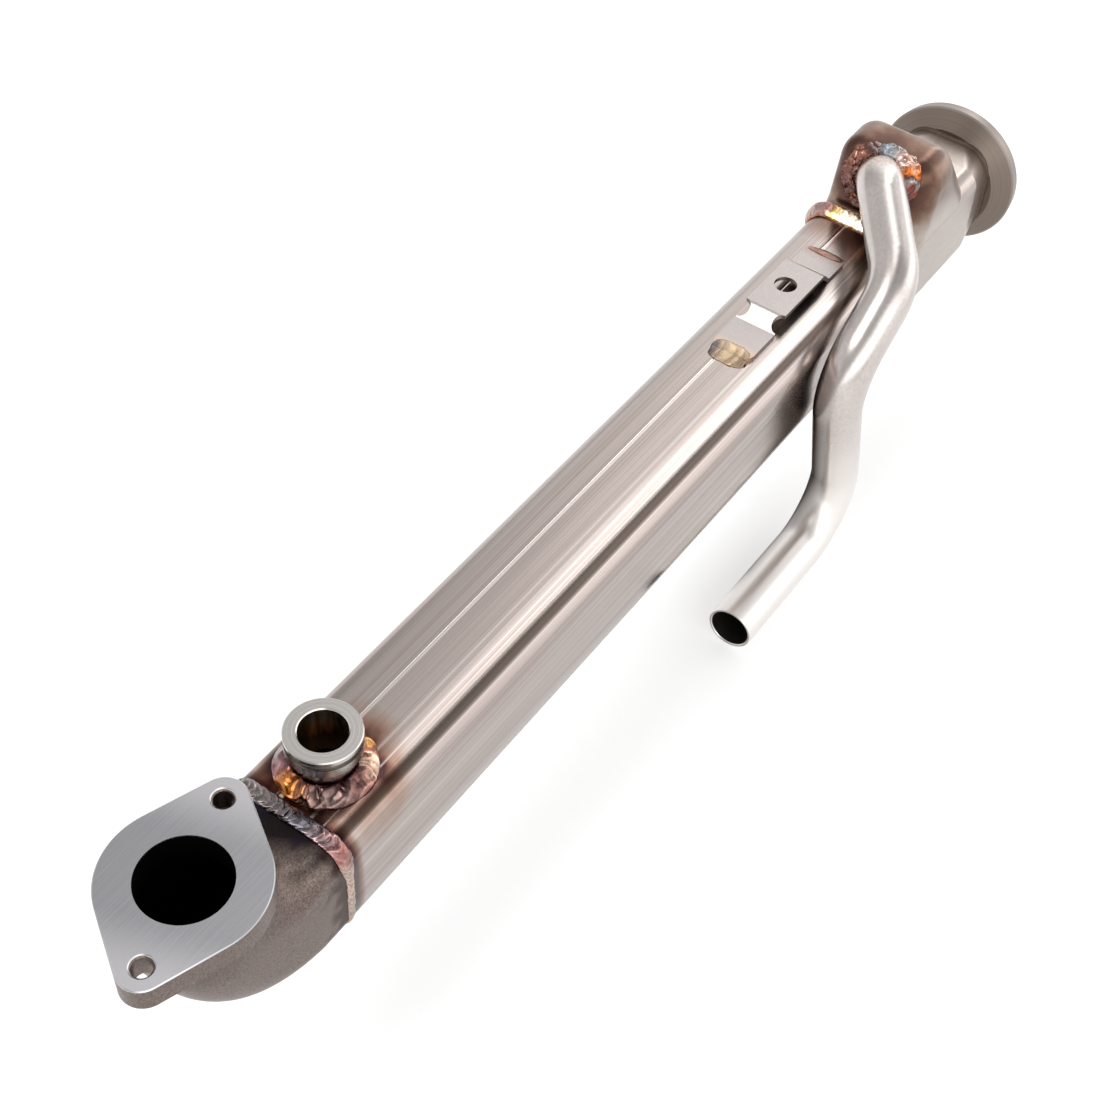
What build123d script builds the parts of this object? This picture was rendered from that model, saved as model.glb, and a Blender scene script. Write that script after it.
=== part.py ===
"""Exhaust gas recirculation cooler for a diesel engine, in millimetres.

Hot exhaust gas enters through the round V-band flange at the +X end, runs through a stack of
flat finned tubes inside a square stainless casing and leaves through the cast elbow with the
two-bolt flange at the -X end. Coolant fills the casing around the tubes: the bent tube joins
the raised hood at the hot end, and the grooved spigot near the elbow is the other coolant port.

Frame: the origin is the centre of the two-bolt flange's mating face, +Z points out of that
face, and +X runs along the casing towards the V-band flange.
"""
import math
import os

from build123d import *

# Casing: a square tube with slightly bowed sides and a fine seam along its top
CASING_SIDE = 50.0
CASING_BOW = 0.6
CASING_CORNER = 9.0
CASING_WALL = 1.5
CASING_LENGTH = 393.5
SEAM_OFFSET = 6.7
SEAM_WIDTH = 1.4
SEAM_DEPTH = 0.25

# Cast elbow with its machined two-bolt flange
FLANGE_BORE = 32.0
FLANGE_THICKNESS = 10.0
FLANGE_RADIUS = 28.0
FLANGE_EAR_RADIUS = 8.5
FLANGE_EDGE = 0.4
BOLT_SPACING = 62.4
BOLT_LINE_ANGLE = 19.6
BOLT_HOLE = 6.8
BOLT_HOLE_CHAMFER = 0.9
AXIS_DROP = 45.0
ELBOW_RADIUS = 34.0
ELBOW_END_WIDTH = 48.0
ELBOW_WALL = 3.5
COLLAR_LENGTH = 13.5

# Coolant spigot, whose top is level with the flange face
SPIGOT_FROM_WELD = 21.5
PORT_LINE_OFFSET = 2.5
SPIGOT_OD = 27.2
SPIGOT_BORE = 17.4
SPIGOT_NECK = 22.6
SPIGOT_LIP = 2.0
SPIGOT_GROOVE = 2.4
SPIGOT_GROOVE_DEPTH = 1.5
SPIGOT_COLLAR = 4.0
SPIGOT_INSIDE = 1.0
SPIGOT_EDGE = 0.4

# Pressed header at the hot end: square box, coolant hood on its top, and gas duct
HEADER_WALL = 2.0
BOX_LENGTH = 68.5
HOOD_RISE = 31.0
HOOD_FOOT = 4.5
HOOD_FRONT_RUN = 6.5
HOOD_CREST_END = 35.5
HOOD_REAR_END = 61.5
HOOD_LEFT = 24.2
HOOD_RIGHT = 24.5
HOOD_FOOT_RADIUS = 4.0
HOOD_CREST_RADIUS = 11.0
HOOD_LEFT_RADIUS = 9.0
HOOD_RIGHT_RADIUS = 13.0
TAPER_LENGTH = 19.0
DUCT_WIDTH = 44.5
DUCT_HEIGHT = 47.5
DUCT_CORNER = 15.0
DUCT_SEAT = 5.0

# V-band flange with a cone-shaped back and a socket for the duct
RING_BACK_RADIUS = 35.4
RING_RIM_RADIUS = 34.6
RING_FACE_RADIUS = 31.0
RING_BORE = 46.0
RING_CONE_RADIUS = 26.5
RING_CONE_DEPTH = 6.0
RING_RIM_WIDTH = 5.2
RING_BEVEL = 1.8
SOCKET_WALL = 1.3
SOCKET_DEPTH = 1.5

# Coolant tube: it leaves the hood's front, and each corner lies so far ahead of the header
TUBE_OD = 21.3
TUBE_WALL = 1.5
TUBE_BEND_RADII = (24.0, 32.0, 30.0, 27.0)
TUBE_SIDE_GAP = 1.9
TUBE_LIP = 0.5
TUBE_ROOT_LENGTH = 22.0
TUBE_ROOT_TILT = 38.0
TUBE_ROOT_TURN = 19.0
TUBE_CORNERS_AHEAD = (0.0, 44.4, 85.3, 56.3)
TUBE_END_AHEAD = 151.0
TUBE_ROOT_SHIFT = 2.6
TUBE_ROOT_UNDER_CREST = 2.8
TUBE_SECOND_UNDER_CREST = 15.8
TUBE_THIRD_OVER_AXIS = 11.9
TUBE_END_UNDER_AXIS = 88.0

# Bracket: a folded strip welded to the casing's top
BRACKET_FROM_HEADER = 30.0
BRACKET_WIDTH = 19.0
BRACKET_SHEET = 1.8
BRACKET_HEIGHT = 7.0
BRACKET_FRONT_FOOT = 22.0
BRACKET_FRONT_RISER = 7.0
BRACKET_PLATFORM = 33.0
BRACKET_REAR_RISER = 5.5
BRACKET_REAR_FOOT = 15.0
BRACKET_BEND = 1.0
BRACKET_FRONT_CORNER = 5.0
BRACKET_REAR_CORNER = 1.5
BRACKET_HOLE = 10.0
BRACKET_HOLE_FROM_FOLD = 18.0
BRACKET_HOLE_SHIFT = 0.9
BRACKET_NOTCH = 3.6

# Weld beads
FRONT_BEAD_WIDTH = 5.2
REAR_BEAD_WIDTH = 6.4
BEAD_HEIGHT = 1.3
SPIGOT_BEAD_RADIUS = 18.2
SPIGOT_BEAD_HEIGHT = 5.0
TUBE_BEAD_LEG = 7.0
FOOT_BEAD_REACH = 3.0
FOOT_BEAD_LAP = 2.5
FOOT_BEAD_CROWN = 0.8
FOOT_BEAD_MARGIN = 1.0

# Core: flat gas tubes with folded fins inside, held by a plate at each end
TUBE_COUNT = 5
GAS_TUBE_WIDTH = 38.0
GAS_TUBE_HEIGHT = 6.0
GAS_TUBE_PITCH = 8.2
GAS_TUBE_WALL = 0.5
GAS_TUBE_CORNER = 2.4
GAS_TUBE_STICKOUT = 1.0
PLATE_THICKNESS = 2.0
PLATE_INSET = 1.0
FIN_SHEET = 0.3
FIN_WAVES = 7
FIN_SIDE_GAP = 1.5
FIN_END_GAP = 4.0

# Places worked out from the sizes above
AXIS_Z = -AXIS_DROP
WELD_X = ELBOW_RADIUS + COLLAR_LENGTH
BOX_X = WELD_X + CASING_LENGTH
TAPER_X = BOX_X + BOX_LENGTH
DUCT_END_X = TAPER_X + TAPER_LENGTH
RIM_X = DUCT_END_X + RING_CONE_DEPTH
RING_FACE_X = RIM_X + RING_RIM_WIDTH + RING_BEVEL
CASING_TOP_Z = AXIS_Z + CASING_SIDE / 2
CREST_Z = CASING_TOP_Z + HOOD_RISE
SPIGOT_X = WELD_X + SPIGOT_FROM_WELD
BRACKET_RUNS = (
    BRACKET_FRONT_FOOT,
    BRACKET_FRONT_RISER,
    BRACKET_PLATFORM,
    BRACKET_REAR_RISER,
    BRACKET_REAR_FOOT,
)
BRACKET_END_X = BOX_X - BRACKET_FROM_HEADER
BRACKET_X = BRACKET_END_X - sum(BRACKET_RUNS)
FRONT_PLATE_X = WELD_X + PLATE_INSET
REAR_PLATE_X = TAPER_X - PLATE_INSET - PLATE_THICKNESS
GAS_TUBE_X = FRONT_PLATE_X - GAS_TUBE_STICKOUT
GAS_TUBE_LENGTH = REAR_PLATE_X + PLATE_THICKNESS + GAS_TUBE_STICKOUT - GAS_TUBE_X

TUBE_SIDE_Y = -(CASING_SIDE / 2 + TUBE_OD / 2 + TUBE_SIDE_GAP)
TUBE_END_X = BOX_X - TUBE_END_AHEAD
TUBE_END_Z = AXIS_Z - TUBE_END_UNDER_AXIS


def cross_plane(x):
    """Plane across the casing at x, with its own x along +Y and its own y along +Z."""
    return Plane(origin=(x, 0, AXIS_Z), x_dir=(0, 1, 0), z_dir=(1, 0, 0))


def elbow_plane(angle):
    """Plane across the elbow, from 0 degrees at the collar to 90 under the flange."""
    turn = math.radians(angle)
    return Plane(
        origin=(
            ELBOW_RADIUS * (1 - math.sin(turn)),
            0,
            AXIS_Z + ELBOW_RADIUS * (1 - math.cos(turn)),
        ),
        x_dir=(0, 1, 0),
        z_dir=(math.cos(turn), 0, -math.sin(turn)),
    )


def bowed_section(plane, width, height, bow, corner):
    """Rounded rectangle whose four sides bow out a little."""
    half_w, half_h = width / 2, height / 2
    in_w, in_h = half_w - bow, half_h - bow
    with BuildSketch(plane) as section:
        with BuildLine():
            ThreePointArc((-in_w, -in_h), (0, -half_h), (in_w, -in_h))
            ThreePointArc((in_w, -in_h), (half_w, 0), (in_w, in_h))
            ThreePointArc((in_w, in_h), (0, half_h), (-in_w, in_h))
            ThreePointArc((-in_w, in_h), (-half_w, 0), (-in_w, -in_h))
        make_face()
        fillet(section.vertices(), corner)
    return section.sketch


def casing_section(x, inset=0.0):
    """The casing's outline at x, or one parallel to it and inset."""
    side = CASING_SIDE - 2 * inset
    return bowed_section(cross_plane(x), side, side, CASING_BOW, CASING_CORNER - inset)


def casing_block(x_from, x_to, inset=0.0):
    """Solid bar of the casing's outline between two places along it."""
    return extrude(casing_section(x_from, inset), x_to - x_from, dir=(1, 0, 0))


def elbow_body(start_width, end_width, start_corner):
    """Bend that changes from the square collar to the round neck under the flange."""
    stations = 5
    sections = []
    for step in range(stations):
        share = step / (stations - 1)
        width = start_width + (end_width - start_width) * share
        round_corner = 0.97 * width / 2
        corner = start_corner + (round_corner - start_corner) * share
        bow = CASING_BOW + (0.01 * width - CASING_BOW) * share
        sections.append(bowed_section(elbow_plane(90 * share), width, width, bow, corner))
    return loft(sections)


def bolt_places():
    """Centres of the two flange bolts."""
    turn = math.radians(BOLT_LINE_ANGLE)
    reach = BOLT_SPACING / 2
    return [(side * reach * math.cos(turn), side * reach * math.sin(turn)) for side in (1, -1)]


def make_outlet_header():
    """Cast elbow with its machined two-bolt flange."""
    with BuildSketch(Plane.XY.offset(-FLANGE_THICKNESS)) as outline:
        Circle(FLANGE_RADIUS)
        with Locations(*bolt_places()):
            Circle(FLANGE_EAR_RADIUS)
        make_hull()
    header = extrude(outline.sketch, FLANGE_THICKNESS)
    neck_top = AXIS_Z + ELBOW_RADIUS
    neck_face = elbow_plane(90) * Circle(ELBOW_END_WIDTH / 2 - 0.3)
    header += extrude(neck_face, -neck_top - FLANGE_THICKNESS / 2, dir=(0, 0, 1))
    header += casing_block(ELBOW_RADIUS, WELD_X)
    header += elbow_body(CASING_SIDE, ELBOW_END_WIDTH, CASING_CORNER)
    inner_side = CASING_SIDE - 2 * ELBOW_WALL
    header -= elbow_body(inner_side, FLANGE_BORE, CASING_CORNER - ELBOW_WALL)
    header -= casing_block(ELBOW_RADIUS, WELD_X, ELBOW_WALL)
    header -= Pos(0, 0, neck_top / 2) * Cylinder(FLANGE_BORE / 2, -neck_top)
    for x, y in bolt_places():
        header -= Pos(x, y, -FLANGE_THICKNESS / 2) * Cylinder(BOLT_HOLE / 2, FLANGE_THICKNESS)
        header -= Pos(x, y, -BOLT_HOLE_CHAMFER / 2) * Cone(
            BOLT_HOLE / 2, BOLT_HOLE / 2 + BOLT_HOLE_CHAMFER, BOLT_HOLE_CHAMFER
        )
    face = header.faces().filter_by(Axis.Z).sort_by(Axis.Z)[-1]
    return chamfer(face.outer_wire().edges(), FLANGE_EDGE)


def make_casing():
    """Square stainless tube with a hole for the spigot and a fine seam along its top."""
    casing = casing_block(WELD_X, BOX_X) - casing_block(WELD_X, BOX_X, CASING_WALL)
    casing -= Pos(SPIGOT_X, PORT_LINE_OFFSET, CASING_TOP_Z) * Cylinder(
        SPIGOT_NECK / 2, 4 * CASING_WALL
    )
    seam_radius = (SEAM_WIDTH**2 / 4 + SEAM_DEPTH**2) / (2 * SEAM_DEPTH)
    bow_radius = (CASING_SIDE**2 / 4 + CASING_BOW**2) / (2 * CASING_BOW)
    bow_drop = bow_radius - math.sqrt(bow_radius**2 - SEAM_OFFSET**2)
    seam_z = CASING_TOP_Z - bow_drop + seam_radius - SEAM_DEPTH
    seam_start = SPIGOT_X + SPIGOT_BEAD_RADIUS
    seam = Rot(0, 90, 0) * Cylinder(seam_radius, BOX_X - seam_start)
    return casing - Pos((seam_start + BOX_X) / 2, SEAM_OFFSET, seam_z) * seam


def make_spigot():
    """Turned coolant spigot with a ring groove, set in the casing's top."""
    bottom = CASING_TOP_Z - CASING_WALL - SPIGOT_INSIDE
    outer, bore, neck = SPIGOT_OD / 2, SPIGOT_BORE / 2, SPIGOT_NECK / 2
    groove = outer - SPIGOT_GROOVE_DEPTH
    groove_z = -SPIGOT_LIP - SPIGOT_GROOVE
    collar_z = groove_z - SPIGOT_COLLAR
    with BuildSketch(Plane.XZ) as profile:
        with BuildLine():
            Polyline(
                (bore, bottom),
                (neck, bottom),
                (neck, collar_z),
                (outer - SPIGOT_EDGE, collar_z),
                (outer, collar_z + SPIGOT_EDGE),
                (outer, groove_z),
                (groove, groove_z),
                (groove, -SPIGOT_LIP),
                (outer, -SPIGOT_LIP),
                (outer, -SPIGOT_EDGE),
                (outer - SPIGOT_EDGE, 0),
                (bore + SPIGOT_EDGE, 0),
                (bore, -SPIGOT_EDGE),
                close=True,
            )
        make_face()
    return Pos(SPIGOT_X, PORT_LINE_OFFSET, 0) * revolve(profile.sketch, Axis.Z)


def hood_bump(grow=0.0):
    """Raised hood on the header's top, or one parallel to it and larger by grow."""
    front_x = BOX_X + 2 * min(grow, 0)
    foot_x = BOX_X + HOOD_FOOT
    outline = Polyline(
        (front_x, AXIS_Z),
        (front_x, CASING_TOP_Z),
        (foot_x, CASING_TOP_Z),
        (foot_x + HOOD_FRONT_RUN, CREST_Z),
        (BOX_X + HOOD_CREST_END, CREST_Z),
        (BOX_X + HOOD_REAR_END, CASING_TOP_Z - HEADER_WALL),
        (BOX_X + HOOD_REAR_END, AXIS_Z),
        close=True,
    )
    side = make_face(Plane.XZ * outline)
    if grow:
        side = offset(side, grow, kind=Kind.INTERSECTION)
    foot = side.vertices().sort_by_distance((foot_x, 0, CASING_TOP_Z))[0]
    side = fillet(foot, HOOD_FOOT_RADIUS - grow)
    side = fillet(side.vertices().group_by(Axis.Z)[-1], HOOD_CREST_RADIUS + grow)
    left, right = HOOD_LEFT + grow, HOOD_RIGHT + grow
    bump = Pos(0, left, 0) * extrude(side, left + right, dir=(0, -1, 0))
    for flank_y, radius in ((left, HOOD_LEFT_RADIUS), (-right, HOOD_RIGHT_RADIUS)):
        flank = bump.faces().filter_by(Axis.Y).sort_by_distance((BOX_X, flank_y, AXIS_Z))[0]
        ridge = [edge for edge in flank.edges() if edge.center().Z > CASING_TOP_Z]
        bump = fillet(ridge, radius + grow)
    return bump


def duct_section(x, inset=0.0):
    """Outline of the gas duct where it meets the V-band flange."""
    width, height = DUCT_WIDTH - 2 * inset, DUCT_HEIGHT - 2 * inset
    return bowed_section(cross_plane(x), width, height, CASING_BOW, DUCT_CORNER - inset)


def duct_taper(inset=0.0):
    """Taper from the square box to the duct's end."""
    return loft([casing_section(TAPER_X, inset), duct_section(DUCT_END_X, inset)])


def duct_bar(x_from, x_to, inset=0.0):
    """Solid bar of the duct's outline between two places along it."""
    return extrude(duct_section(x_from, inset), x_to - x_from, dir=(1, 0, 0))


def header_body(inset=0.0):
    """Square box, taper and short duct end of the hot end's header."""
    body = casing_block(BOX_X, TAPER_X, inset) + duct_taper(inset)
    return body + duct_bar(DUCT_END_X, DUCT_END_X + DUCT_SEAT, inset)


def tube_path():
    """Centre line of the coolant tube with its bends, from inside the hood to its open end."""
    corner_x = [BOX_X - ahead for ahead in TUBE_CORNERS_AHEAD]
    root = Vector(corner_x[0], -TUBE_ROOT_SHIFT, CREST_Z - TUBE_ROOT_UNDER_CREST)
    inward = Vector(1, 0, 0).rotate(Axis.Y, TUBE_ROOT_TILT).rotate(Axis.Z, TUBE_ROOT_TURN)
    corners = (
        root + inward * TUBE_ROOT_LENGTH,
        root,
        (corner_x[1], TUBE_SIDE_Y, CREST_Z - TUBE_SECOND_UNDER_CREST),
        (corner_x[2], TUBE_SIDE_Y, AXIS_Z + TUBE_THIRD_OVER_AXIS),
        (corner_x[3], TUBE_SIDE_Y, TUBE_END_Z),
        (TUBE_END_X, TUBE_SIDE_Y, TUBE_END_Z),
    )
    return FilletPolyline(*corners, radius=list(TUBE_BEND_RADII))


def tube_start():
    """Plane across the coolant tube's inner end."""
    path = tube_path()
    return Plane(origin=path @ 0, z_dir=path % 0)


def tube_bar(radius):
    """Solid round bar of the given radius along the coolant tube's centre line."""
    return sweep(tube_start() * Circle(radius), path=tube_path())


def make_inlet_header():
    """Pressed header at the hot end: coolant hood, square box and gas duct."""
    header = header_body() + hood_bump()
    header -= header_body(HEADER_WALL)
    header -= hood_bump(-HEADER_WALL)
    return header - tube_bar(TUBE_OD / 2)


def make_vband_ring():
    """V-band flange with a cone-shaped back and a socket for the duct."""
    with BuildSketch(Plane.XZ) as profile:
        with BuildLine():
            Polyline(
                (DUCT_END_X, 0),
                (DUCT_END_X, RING_CONE_RADIUS),
                (RIM_X, RING_BACK_RADIUS),
                (RIM_X + RING_RIM_WIDTH, RING_RIM_RADIUS),
                (RING_FACE_X, RING_FACE_RADIUS),
                (RING_FACE_X, 0),
                close=True,
            )
        make_face()
    ring = Pos(0, 0, AXIS_Z) * revolve(profile.sketch, Axis.X)
    ring += duct_bar(DUCT_END_X - SOCKET_DEPTH, DUCT_END_X + SOCKET_DEPTH, -SOCKET_WALL)
    ring -= duct_taper()
    ring -= duct_bar(DUCT_END_X, DUCT_END_X + DUCT_SEAT)
    bore_length = RING_FACE_X - DUCT_END_X - DUCT_SEAT
    bore = Rot(0, 90, 0) * Cylinder(RING_BORE / 2, bore_length)
    return ring - Pos(RING_FACE_X - bore_length / 2, 0, AXIS_Z) * bore


def make_coolant_tube():
    """Bent coolant tube with a bevelled hose end."""
    tube = tube_bar(TUBE_OD / 2) - tube_bar(TUBE_OD / 2 - TUBE_WALL)
    open_end = tube.faces().filter_by(GeomType.PLANE).sort_by(Axis.Z)[0]
    return chamfer(open_end.edges(), TUBE_LIP)


def bracket_line():
    """Underside of the bracket, from its front end to its rear end."""
    raised = CASING_TOP_Z + BRACKET_HEIGHT - BRACKET_SHEET
    stations = [BRACKET_X + sum(BRACKET_RUNS[:count]) for count in range(len(BRACKET_RUNS) + 1)]
    levels = (CASING_TOP_Z, CASING_TOP_Z, raised, raised, CASING_TOP_Z, CASING_TOP_Z)
    return FilletPolyline(*zip(stations, levels), radius=BRACKET_BEND)


def make_bracket():
    """Folded strip bracket with two feet, a waisted riser and a bolt hole."""
    side = Plane.XZ * make_face(offset(bracket_line(), BRACKET_SHEET, side=Side.LEFT))
    half = BRACKET_WIDTH / 2
    bracket = Pos(0, PORT_LINE_OFFSET + half, 0) * extrude(side, BRACKET_WIDTH, dir=(0, -1, 0))
    ends = bracket.edges().filter_by(Axis.Z).group_by(Axis.X)
    bracket = fillet(ends[0], BRACKET_FRONT_CORNER)
    ends = bracket.edges().filter_by(Axis.Z).group_by(Axis.X)
    bracket = fillet(ends[-1], BRACKET_REAR_CORNER)
    waist_x = BRACKET_X + BRACKET_FRONT_FOOT + BRACKET_FRONT_RISER / 2
    fold_x = BRACKET_X + BRACKET_FRONT_FOOT + BRACKET_FRONT_RISER
    for edge_y in (-half, half):
        bracket -= Pos(waist_x, PORT_LINE_OFFSET + edge_y, CASING_TOP_Z) * Cylinder(
            BRACKET_NOTCH, 4 * BRACKET_HEIGHT
        )
    return bracket - Pos(
        fold_x + BRACKET_HOLE_FROM_FOLD, PORT_LINE_OFFSET + BRACKET_HOLE_SHIFT, CASING_TOP_Z
    ) * Cylinder(BRACKET_HOLE / 2, 4 * BRACKET_HEIGHT)


def perimeter_bead(x, width):
    """Weld bead all the way round the casing at x."""
    path = casing_section(x).face().outer_wire()
    outward = (path @ 0) - Vector(x, 0, AXIS_Z)
    plane = Plane(origin=path @ 0, x_dir=(1, 0, 0), z_dir=path % 0)
    rise = math.copysign(BEAD_HEIGHT, plane.y_dir.dot(outward))
    half = width / 2
    with BuildSketch(plane) as profile:
        with BuildLine():
            Line((-half, 0), (half, 0))
            ThreePointArc((half, 0), (0, rise), (-half, 0))
        make_face()
    return sweep(profile.sketch, path=path)


def make_spigot_bead():
    """Heavy weld fillet between the spigot and the casing's top."""
    neck = SPIGOT_NECK / 2
    toe_z = CASING_TOP_Z - CASING_CORNER / 2
    head_z = CASING_TOP_Z + SPIGOT_BEAD_HEIGHT
    knee = (neck + SPIGOT_BEAD_RADIUS) / 2 + SPIGOT_BEAD_HEIGHT / 5
    with BuildSketch(Plane.XZ) as profile:
        with BuildLine():
            Polyline(
                (SPIGOT_BEAD_RADIUS, CASING_TOP_Z),
                (SPIGOT_BEAD_RADIUS, toe_z),
                (neck, toe_z),
                (neck, head_z),
            )
            ThreePointArc(
                (neck, head_z),
                (knee, CASING_TOP_Z + 0.62 * SPIGOT_BEAD_HEIGHT),
                (SPIGOT_BEAD_RADIUS, CASING_TOP_Z),
            )
        make_face()
    bead = Pos(SPIGOT_X, PORT_LINE_OFFSET, 0) * revolve(profile.sketch, Axis.Z)
    return bead - casing_block(WELD_X, BOX_X)


def make_tube_bead():
    """Weld around the coolant tube where it leaves the hood."""
    hood = hood_bump() + header_body()
    bar = tube_bar(TUBE_OD / 2)
    joined = hood + bar
    root = new_edges(hood, bar, combined=joined)
    return chamfer(root, TUBE_BEAD_LEG) - joined


def foot_bead(foot_x, outward):
    """Weld across the end of a bracket foot, on the side that outward points to."""
    toe_x = foot_x + outward * FOOT_BEAD_REACH
    lap_x = foot_x - outward * FOOT_BEAD_LAP
    root_z = CASING_TOP_Z - CASING_WALL / 2
    lap_z = CASING_TOP_Z + BRACKET_SHEET
    with BuildSketch(Plane.XZ) as profile:
        with BuildLine():
            Polyline((toe_x, CASING_TOP_Z), (toe_x, root_z), (lap_x, root_z), (lap_x, lap_z))
            ThreePointArc((lap_x, lap_z), (foot_x, lap_z + FOOT_BEAD_CROWN), (toe_x, CASING_TOP_Z))
        make_face()
    width = BRACKET_WIDTH - 2 * FOOT_BEAD_MARGIN
    bead = Pos(0, PORT_LINE_OFFSET + width / 2, 0) * extrude(profile.sketch, width)
    return bead - casing_block(WELD_X, BOX_X) - make_bracket()


def gas_tube_section(x, level, inset=0.0):
    """Outline of one flat gas tube at x, centred at a level above the casing's axis."""
    width, height = GAS_TUBE_WIDTH - 2 * inset, GAS_TUBE_HEIGHT - 2 * inset
    return cross_plane(x) * Pos(0, level) * RectangleRounded(
        width, height, GAS_TUBE_CORNER - inset
    )


def gas_tube_levels():
    """Heights of the gas tubes' middles above the casing's axis."""
    middle = (TUBE_COUNT - 1) / 2
    return [(index - middle) * GAS_TUBE_PITCH for index in range(TUBE_COUNT)]


def make_gas_tube(level):
    """Flat gas tube that runs through both plates."""
    outer = extrude(gas_tube_section(GAS_TUBE_X, level), GAS_TUBE_LENGTH, dir=(1, 0, 0))
    inner_section = gas_tube_section(GAS_TUBE_X, level, GAS_TUBE_WALL)
    return outer - extrude(inner_section, GAS_TUBE_LENGTH, dir=(1, 0, 0))


def make_fin(level):
    """Folded fin sheet that fills one gas tube."""
    half_height = GAS_TUBE_HEIGHT / 2 - GAS_TUBE_WALL - FIN_SHEET / 2
    half_width = GAS_TUBE_WIDTH / 2 - GAS_TUBE_WALL - FIN_SIDE_GAP
    step = half_width / (2 * FIN_WAVES)
    points = []
    for fold in range(2 * FIN_WAVES):
        side = half_height if fold % 2 else -half_height
        start = -half_width + 2 * step * fold
        points += [(start + 0.5 * step, side), (start + 1.5 * step, side)]
    wave = Polyline(*points)
    sheet = make_face(offset(wave, FIN_SHEET / 2, kind=Kind.INTERSECTION, side=Side.BOTH))
    fin_x = GAS_TUBE_X + FIN_END_GAP
    fin_length = GAS_TUBE_LENGTH - 2 * FIN_END_GAP
    return extrude(cross_plane(fin_x) * Pos(0, level) * sheet, fin_length, dir=(1, 0, 0))


def make_plate(x, wall):
    """Plate that holds the gas tubes, inside a square wall of the given thickness."""
    plate = casing_block(x, x + PLATE_THICKNESS, wall)
    for level in gas_tube_levels():
        plate -= extrude(gas_tube_section(x, level), PLATE_THICKNESS, dir=(1, 0, 0))
    return plate


def make_parts():
    """All the pieces of the cooler by name."""
    parts = {
        "outlet_header": make_outlet_header(),
        "casing": make_casing(),
        "coolant_spigot": make_spigot(),
        "inlet_header": make_inlet_header(),
        "inlet_vband_ring": make_vband_ring(),
        "coolant_tube": make_coolant_tube(),
        "mounting_bracket": make_bracket(),
        "weld_outlet_header": perimeter_bead(WELD_X, FRONT_BEAD_WIDTH),
        "weld_inlet_header": perimeter_bead(BOX_X, REAR_BEAD_WIDTH) - hood_bump(),
        "weld_spigot": make_spigot_bead(),
        "weld_tube": make_tube_bead(),
        "weld_bracket_front": foot_bead(BRACKET_X, -1),
        "weld_bracket_rear": foot_bead(BRACKET_END_X, 1),
        "front_tube_sheet": make_plate(FRONT_PLATE_X, CASING_WALL),
        "rear_tube_sheet": make_plate(REAR_PLATE_X, HEADER_WALL),
    }
    for number, level in enumerate(gas_tube_levels(), 1):
        parts[f"gas_tube_{number}"] = make_gas_tube(level)
        parts[f"gas_fin_{number}"] = make_fin(level)
    return parts


os.makedirs("parts", exist_ok=True)
for name, part in make_parts().items():
    export_step(part, f"parts/{name}.step")
    print(f"{name}: {part.volume / 1000:.2f} cm3, {len(part.solids())} solid")
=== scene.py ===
# %% [markdown]
# # Dressing an exhaust gas cooler
#
# The cooler is a long square stainless tube with a cast elbow at one end and a pressed header
# at the other. Its pieces come ready made at their real size. This script gives each surface
# the finish of the real metal, and it models the weld beads, whose ripples and heat colours
# tell at a glance that the cooler was built by hand.

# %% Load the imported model
import math

import bmesh
import bpy
from mathutils import Euler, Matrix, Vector, noise


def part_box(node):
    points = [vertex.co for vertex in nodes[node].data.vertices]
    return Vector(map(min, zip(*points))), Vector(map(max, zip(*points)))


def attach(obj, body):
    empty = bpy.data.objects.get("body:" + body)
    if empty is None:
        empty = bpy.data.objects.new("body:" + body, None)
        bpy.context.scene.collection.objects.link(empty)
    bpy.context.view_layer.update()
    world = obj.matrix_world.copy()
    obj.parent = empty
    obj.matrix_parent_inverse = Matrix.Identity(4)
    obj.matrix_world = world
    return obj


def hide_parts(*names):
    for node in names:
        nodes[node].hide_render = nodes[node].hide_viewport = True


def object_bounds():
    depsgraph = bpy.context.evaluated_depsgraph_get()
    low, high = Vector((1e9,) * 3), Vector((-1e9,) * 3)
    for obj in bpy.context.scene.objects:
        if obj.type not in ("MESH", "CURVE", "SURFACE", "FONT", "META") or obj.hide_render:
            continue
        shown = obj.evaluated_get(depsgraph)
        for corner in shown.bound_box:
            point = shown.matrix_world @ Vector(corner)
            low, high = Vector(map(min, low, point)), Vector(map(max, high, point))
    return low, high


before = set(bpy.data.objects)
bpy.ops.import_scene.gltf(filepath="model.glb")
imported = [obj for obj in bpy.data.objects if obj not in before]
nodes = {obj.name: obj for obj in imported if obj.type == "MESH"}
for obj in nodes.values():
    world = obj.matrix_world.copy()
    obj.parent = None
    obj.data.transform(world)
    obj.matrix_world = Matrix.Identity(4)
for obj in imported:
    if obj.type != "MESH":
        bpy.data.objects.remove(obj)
cad_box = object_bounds()
MM = 0.001
print("nodes:", len(nodes))

# %% [markdown]
# ## Where things are
#
# Every heat tint and every row of ripples is placed from the pieces themselves, so the script
# reads their boxes first. A box gives the lowest and highest corner of a piece, in metres.
# The sizes of a section, such as the casing's corner, can't be read from a box. They are
# written here once, in millimetres.

# %% Read the places of the main pieces
casing_low, casing_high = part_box("casing")
spigot_low, spigot_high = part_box("coolant_spigot")
bracket_low, bracket_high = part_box("mounting_bracket")
tube_bead_low, tube_bead_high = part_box("weld_tube")
tube_low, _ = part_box("coolant_tube")

front_weld_x = casing_low.x
rear_weld_x = casing_high.x
axis_z = (casing_low.z + casing_high.z) / 2
casing_top_z = casing_high.z
spigot_x = (spigot_low.x + spigot_high.x) / 2
spigot_y = (spigot_low.y + spigot_high.y) / 2
tube_joint = (tube_bead_low + tube_bead_high) / 2
print("casing length in mm:", round((rear_weld_x - front_weld_x) / MM, 1))

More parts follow.
